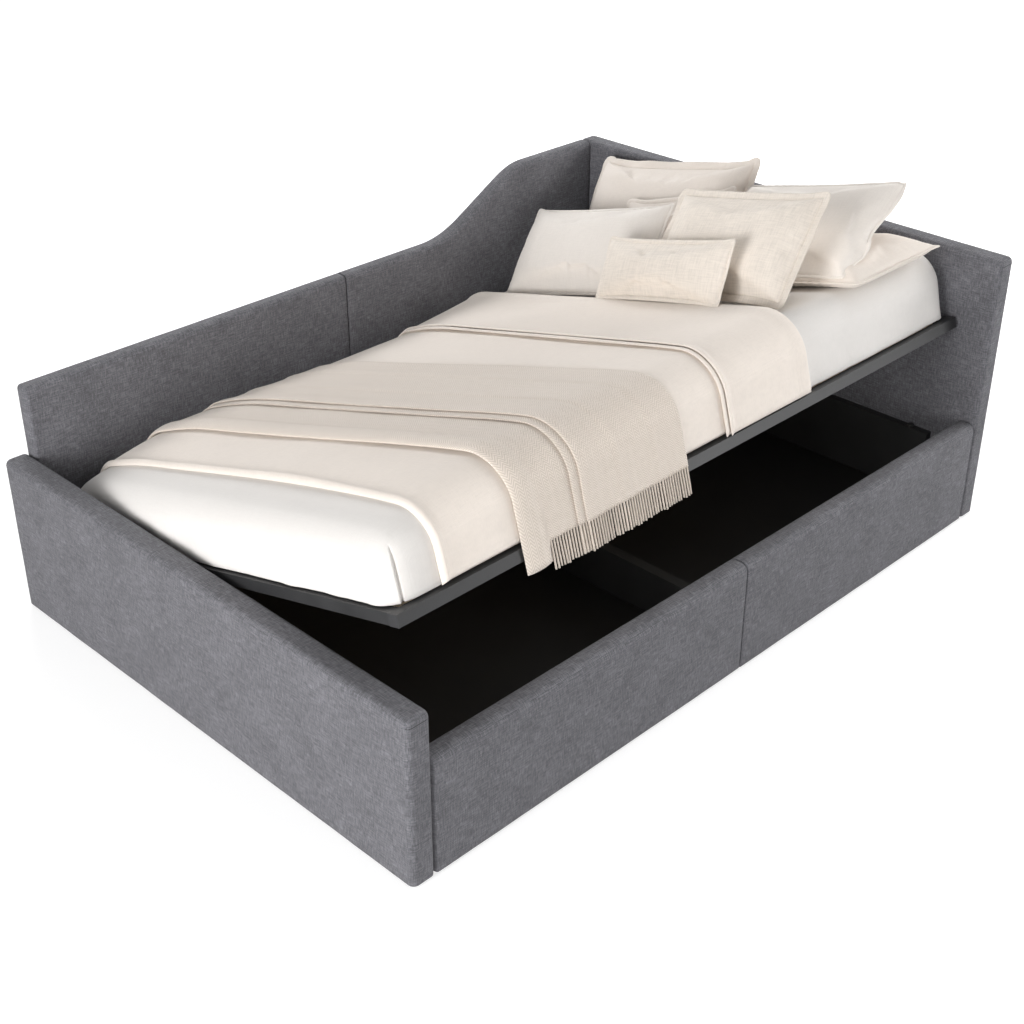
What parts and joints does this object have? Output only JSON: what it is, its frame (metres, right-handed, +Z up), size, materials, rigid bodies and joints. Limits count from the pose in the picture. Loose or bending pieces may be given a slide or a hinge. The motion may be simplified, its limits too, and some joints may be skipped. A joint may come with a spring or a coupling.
{
  "type": "storage daybed",
  "caption": "Upholstered daybed with a tall headboard, low footboard and stepped back wall, and a made-up mattress platform that tilts up on gas struts over a storage box.",
  "frame": {"origin": "on the floor under the middle of the footprint", "axes": "+X from the footboard to the headboard, +Y from the front rail to the back wall, +Z up"},
  "size_m": [2.15, 1.49, 0.9942],
  "materials": {
    "upholstery": "matte",
    "core_board": "matte",
    "black_board": "matte",
    "bare_wood": "matte",
    "slat_wood": "satin",
    "black_steel": "satin",
    "zinc_steel": "satin",
    "bright_rod": "polished",
    "black_plastic": "matte",
    "black_rubber": "matte",
    "white_sheet": "matte",
    "beige_cotton": "matte",
    "beige_linen": "matte",
    "pale_cotton": "matte",
    "herringbone": "matte"
  },
  "bodies": {
    "base": {"footboard_cover": "upholstery", "headboard_cover": "upholstery", "front_rail_foot_cover": "upholstery", "front_rail_head_cover": "upholstery", "back_wall_foot_cover": "upholstery", "back_wall_head_cover": "upholstery", "footboard_board": "core_board", "headboard_board": "core_board", "front_rail_foot_board": "core_board", "front_rail_head_board": "core_board", "back_wall_foot_board": "core_board", "back_wall_head_board": "core_board", "centre_beam": "black_board", "storage_floor_foot": "black_board", "storage_floor_head": "black_board", "floor_battens": "black_board", "ledger_foot": "black_board", "ledger_head": "black_board", "back_ledgers": "bare_wood", "corner_brackets": "black_steel", "splice_plates": "black_steel", "beam_brackets": "black_steel", "hinge_bracket_foot": "black_steel", "hinge_bracket_head": "black_steel", "strut_bracket_foot": "black_steel", "strut_bracket_head": "black_steel", "panel_bolts": "zinc_steel", "hinge_bolts": "zinc_steel", "hinge_pin_foot": "zinc_steel", "hinge_pin_head": "zinc_steel", "floor_glides": "black_plastic", "rest_pads": "black_rubber"},
    "platform": {"frame_front_tube": "black_steel", "frame_back_tube": "black_steel", "frame_foot_tube": "black_steel", "frame_head_tube": "black_steel", "frame_centre_tube": "black_steel", "tube_plugs": "black_plastic", "slats_foot": "slat_wood", "slats_head": "slat_wood", "slat_holders_foot": "black_plastic", "slat_holders_head": "black_plastic", "hinge_arm_foot": "black_steel", "hinge_arm_head": "black_steel", "strut_lug_foot": "black_steel", "strut_lug_head": "black_steel", "mattress": "white_sheet", "duvet": "beige_cotton", "throw": "herringbone", "pillow_back": "beige_cotton", "pillow_side": "pale_cotton", "pillow_flat": "beige_cotton", "pillow_leaning": "pale_cotton", "cushion_square": "beige_linen", "cushion_lumbar": "beige_linen", "cushion_hidden": "beige_cotton"},
    "strut_cylinder_foot": {"strut_cylinder_foot": "black_steel"},
    "strut_rod_foot": {"strut_rod_foot": "bright_rod"},
    "strut_cylinder_head": {"strut_cylinder_head": "black_steel"},
    "strut_rod_head": {"strut_rod_head": "bright_rod"}
  },
  "joints": [
    {"name": "platform_lift", "type": "hinge", "parent": "base", "child": "platform", "pos_m": [0, 0.505, 0.339], "axis": [-1, 0, 0], "range_deg": [-16, 10]},
    {"name": "strut_cylinder_turn_foot", "type": "hinge", "parent": "base", "child": "strut_cylinder_foot", "pos_m": [-0.953, 0.585, 0.09], "axis": [-1, 0, 0], "range_deg": [-9.01, 5.67]},
    {"name": "strut_rod_turn_foot", "type": "hinge", "parent": "platform", "child": "strut_rod_foot", "pos_m": [-0.953, 0.20923, 0.30522], "axis": [-1, 0, 0], "range_deg": [-4.53, 7.19]},
    {"name": "strut_cylinder_turn_head", "type": "hinge", "parent": "base", "child": "strut_cylinder_head", "pos_m": [0.953, 0.585, 0.09], "axis": [-1, 0, 0], "range_deg": [-9.01, 5.67]},
    {"name": "strut_rod_turn_head", "type": "hinge", "parent": "platform", "child": "strut_rod_head", "pos_m": [0.953, 0.20923, 0.30522], "axis": [-1, 0, 0], "range_deg": [-4.53, 7.19]}
  ],
  "couplings": [
    {"joint": "strut_cylinder_turn_foot", "follows": "platform_lift", "ratio": 0.557},
    {"joint": "strut_rod_turn_foot", "follows": "platform_lift", "ratio": -0.443},
    {"joint": "strut_cylinder_turn_head", "follows": "platform_lift", "ratio": 0.557},
    {"joint": "strut_rod_turn_head", "follows": "platform_lift", "ratio": -0.443}
  ]
}
